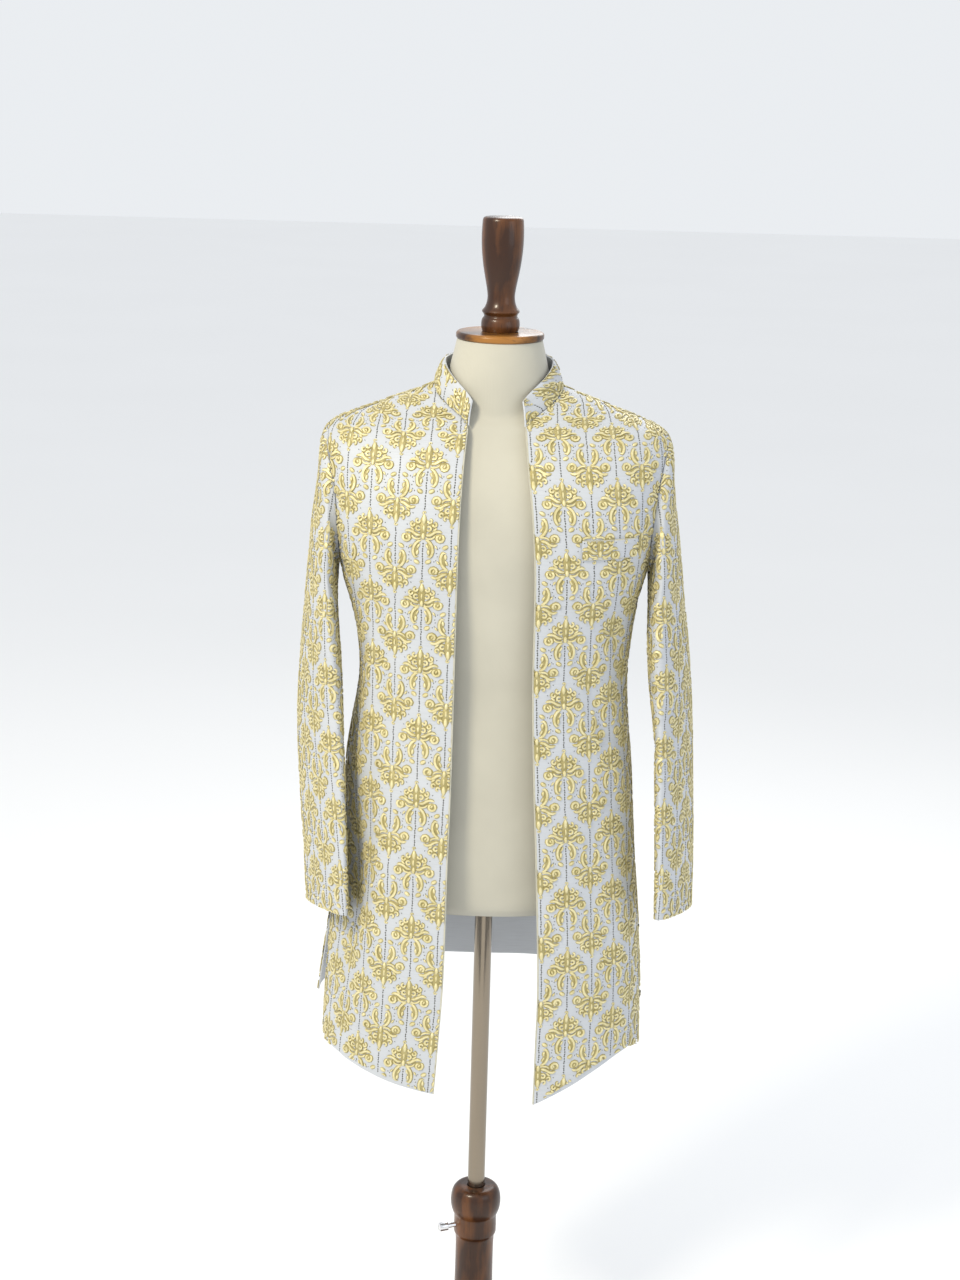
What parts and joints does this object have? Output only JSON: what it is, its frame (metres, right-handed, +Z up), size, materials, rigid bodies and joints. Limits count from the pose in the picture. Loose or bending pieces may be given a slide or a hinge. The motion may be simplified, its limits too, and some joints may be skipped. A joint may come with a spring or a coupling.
{
  "type": "sherwani coat on dress form",
  "caption": "Long open-front sherwani coat in ivory silk with raised gold scrolls, stand collar and breast pocket, worn by a limbless dress form on a turned wooden stand",
  "frame": {"origin": "the middle of the whole outline seen from above, at floor height; the stand's axis is 8 mm to the wearer's right of it", "axes": "+X to the wearer's left, +Y towards the coat's back, +Z up"},
  "size_m": [0.5443, 0.424, 1.693],
  "materials": {
    "cloth": "ivory silk with raised gold thread, soft sheen",
    "form_cover": "matt cream jersey",
    "wood": "glossy dark walnut varnish",
    "base_wood": "satin dark walnut stain",
    "pole_metal": "polished",
    "screw_metal": "polished"
  },
  "bodies": {
    "root": {"front_right": "cloth", "front_left": "cloth", "back": "cloth", "sleeve_right_upper": "cloth", "sleeve_right_under": "cloth", "sleeve_left_upper": "cloth", "sleeve_left_under": "cloth", "collar": "cloth", "pocket_welt": "cloth", "form_torso": "form_cover", "neck_disc": "wood", "finial": "wood", "pole": "pole_metal", "column": "wood", "clamp_screw": "screw_metal", "base": "base_wood"}
  },
  "joints": []
}
